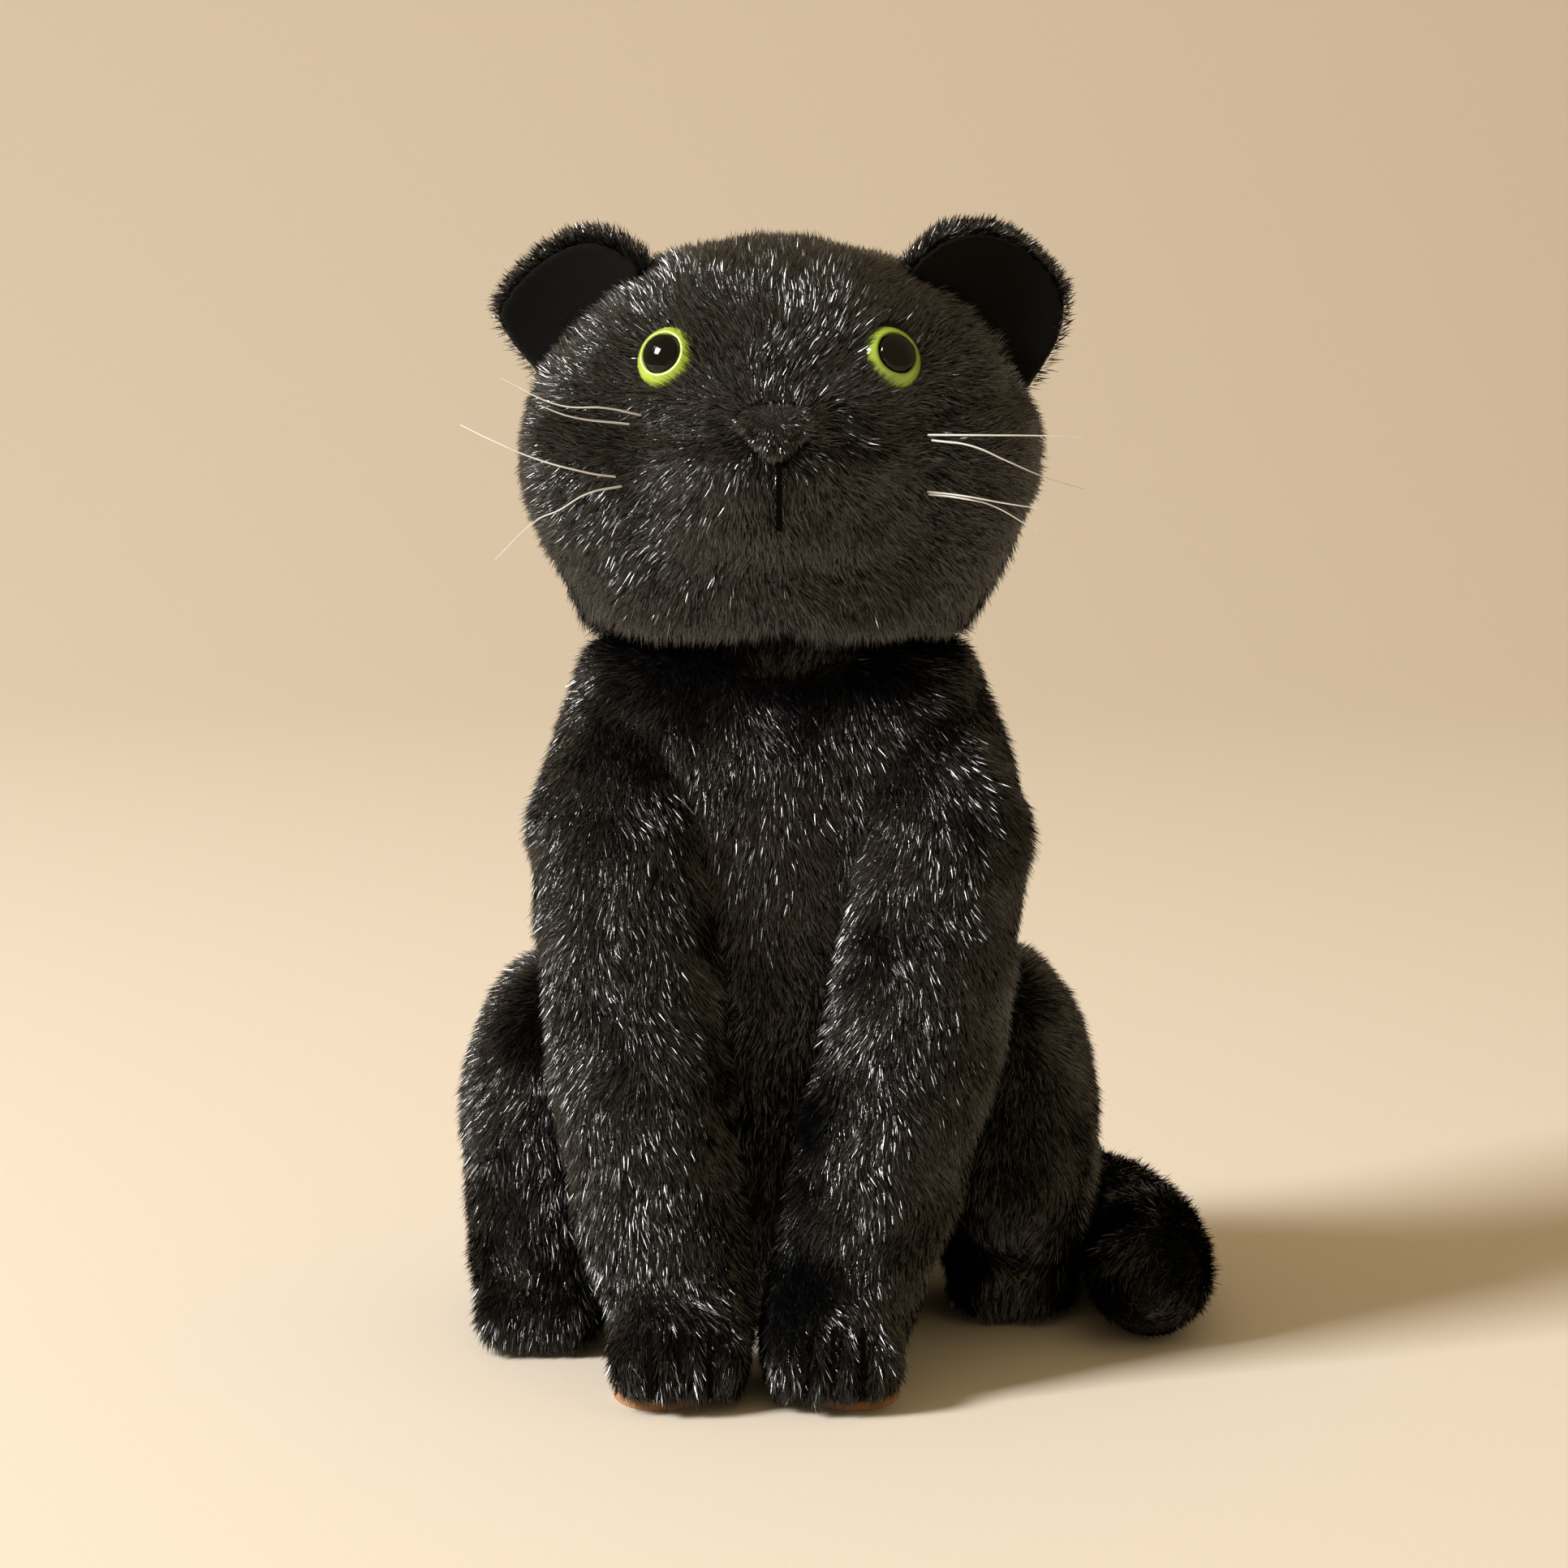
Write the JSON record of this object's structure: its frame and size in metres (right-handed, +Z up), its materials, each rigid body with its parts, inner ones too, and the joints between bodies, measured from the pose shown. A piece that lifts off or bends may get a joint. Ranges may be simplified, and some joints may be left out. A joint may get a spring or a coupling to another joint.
{
  "type": "plush cat",
  "caption": "Sitting black plush cat with green safety eyes, nylon whiskers, sewn limbs, a turning head and a curled tail.",
  "frame": {"origin": "middle of the flat seat, on the floor", "axes": "+Z up, the cat faces -Y, its own left side is +X"},
  "size_m": [0.1235, 0.1184, 0.1836],
  "materials": {
    "pile_fabric": "combed black plush pile",
    "filling": "white polyester fibre",
    "pouch_cloth": "plain woven cloth",
    "pellet_plastic": "tumbled",
    "thread": "twisted sewing thread",
    "label_tape": "blank satin tape",
    "nose_fabric": "short napped fabric",
    "eye_clear": "clear polished acrylic",
    "eye_green": "green paint behind clear plastic",
    "eye_black": "polished black",
    "washer_plastic": "moulded",
    "whisker_nylon": "clear white nylon",
    "ear_lining_fabric": "short black velour",
    "sole_suede": "tan synthetic suede"
  },
  "bodies": {
    "torso": {"torso_skin": "pile_fabric", "torso_stuffing": "filling", "pellet_pouch": "pouch_cloth", "pellets": "pellet_plastic", "back_seam_thread": "thread", "sewn_label": "label_tape"},
    "neck": {"neck_stuffing": "filling", "neck_seam_thread": "thread"},
    "head": {"head_skin": "pile_fabric", "head_stuffing": "filling", "nose": "nose_fabric", "mouth_thread": "thread", "eye_lens_left": "eye_clear", "eye_lens_right": "eye_clear", "eye_iris_left": "eye_green", "eye_iris_right": "eye_green", "eye_pupil_left": "eye_black", "eye_pupil_right": "eye_black", "eye_washer_left": "washer_plastic", "eye_washer_right": "washer_plastic", "whiskers_left": "whisker_nylon", "whiskers_right": "whisker_nylon"},
    "ear_left": {"ear_back_left": "pile_fabric", "ear_lining_left": "ear_lining_fabric"},
    "ear_right": {"ear_back_right": "pile_fabric", "ear_lining_right": "ear_lining_fabric"},
    "foreleg_left": {"foreleg_skin_left": "pile_fabric", "foreleg_stuffing_left": "filling", "toe_thread_left": "thread", "paw_pad_left": "sole_suede"},
    "foreleg_right": {"foreleg_skin_right": "pile_fabric", "foreleg_stuffing_right": "filling", "toe_thread_right": "thread", "paw_pad_right": "sole_suede"},
    "hind_leg_left": {"hind_leg_skin_left": "pile_fabric", "hind_leg_stuffing_left": "filling"},
    "hind_leg_right": {"hind_leg_skin_right": "pile_fabric", "hind_leg_stuffing_right": "filling"},
    "tail": {"tail_skin": "pile_fabric", "tail_stuffing": "filling"}
  },
  "joints": [
    {"name": "neck_nod", "type": "hinge", "parent": "torso", "child": "neck", "pos_m": [0, -0.028, 0.1175], "axis": [1, 0, 0], "range_deg": [-6, 6], "stiffness_Nm_per_rad": 0.35},
    {"name": "head_turn", "type": "hinge", "parent": "neck", "child": "head", "pos_m": [0, -0.028, 0.1175], "axis": [0, 0, 1], "range_deg": [-25, 25], "stiffness_Nm_per_rad": 0.3},
    {"name": "ear_left_flop", "type": "hinge", "parent": "head", "child": "ear_left", "pos_m": [0.0312, -0.031, 0.1695], "axis": [0.6038, 0.315, -0.7323], "range_deg": [-12, 12], "stiffness_Nm_per_rad": 0.01},
    {"name": "ear_right_flop", "type": "hinge", "parent": "head", "child": "ear_right", "pos_m": [-0.0312, -0.031, 0.1695], "axis": [-0.6038, 0.315, -0.7323], "range_deg": [-12, 12], "stiffness_Nm_per_rad": 0.01},
    {"name": "foreleg_left_swing", "type": "hinge", "parent": "torso", "child": "foreleg_left", "pos_m": [0.0255, -0.038, 0.086], "axis": [-1, 0, 0], "range_deg": [0, 40], "stiffness_Nm_per_rad": 0.15},
    {"name": "foreleg_right_swing", "type": "hinge", "parent": "torso", "child": "foreleg_right", "pos_m": [-0.0255, -0.038, 0.086], "axis": [-1, 0, 0], "range_deg": [0, 40], "stiffness_Nm_per_rad": 0.15},
    {"name": "hind_leg_left_swing", "type": "hinge", "parent": "torso", "child": "hind_leg_left", "pos_m": [0.038, -0.002, 0.034], "axis": [-1, 0, 0], "range_deg": [0, 22], "stiffness_Nm_per_rad": 0.15},
    {"name": "hind_leg_right_swing", "type": "hinge", "parent": "torso", "child": "hind_leg_right", "pos_m": [-0.038, -0.002, 0.034], "axis": [-1, 0, 0], "range_deg": [0, 22], "stiffness_Nm_per_rad": 0.15},
    {"name": "tail_swing", "type": "hinge", "parent": "torso", "child": "tail", "pos_m": [0.006, 0.033, 0.012], "axis": [0, 0, 1], "range_deg": [0, 35], "stiffness_Nm_per_rad": 0.05}
  ]
}
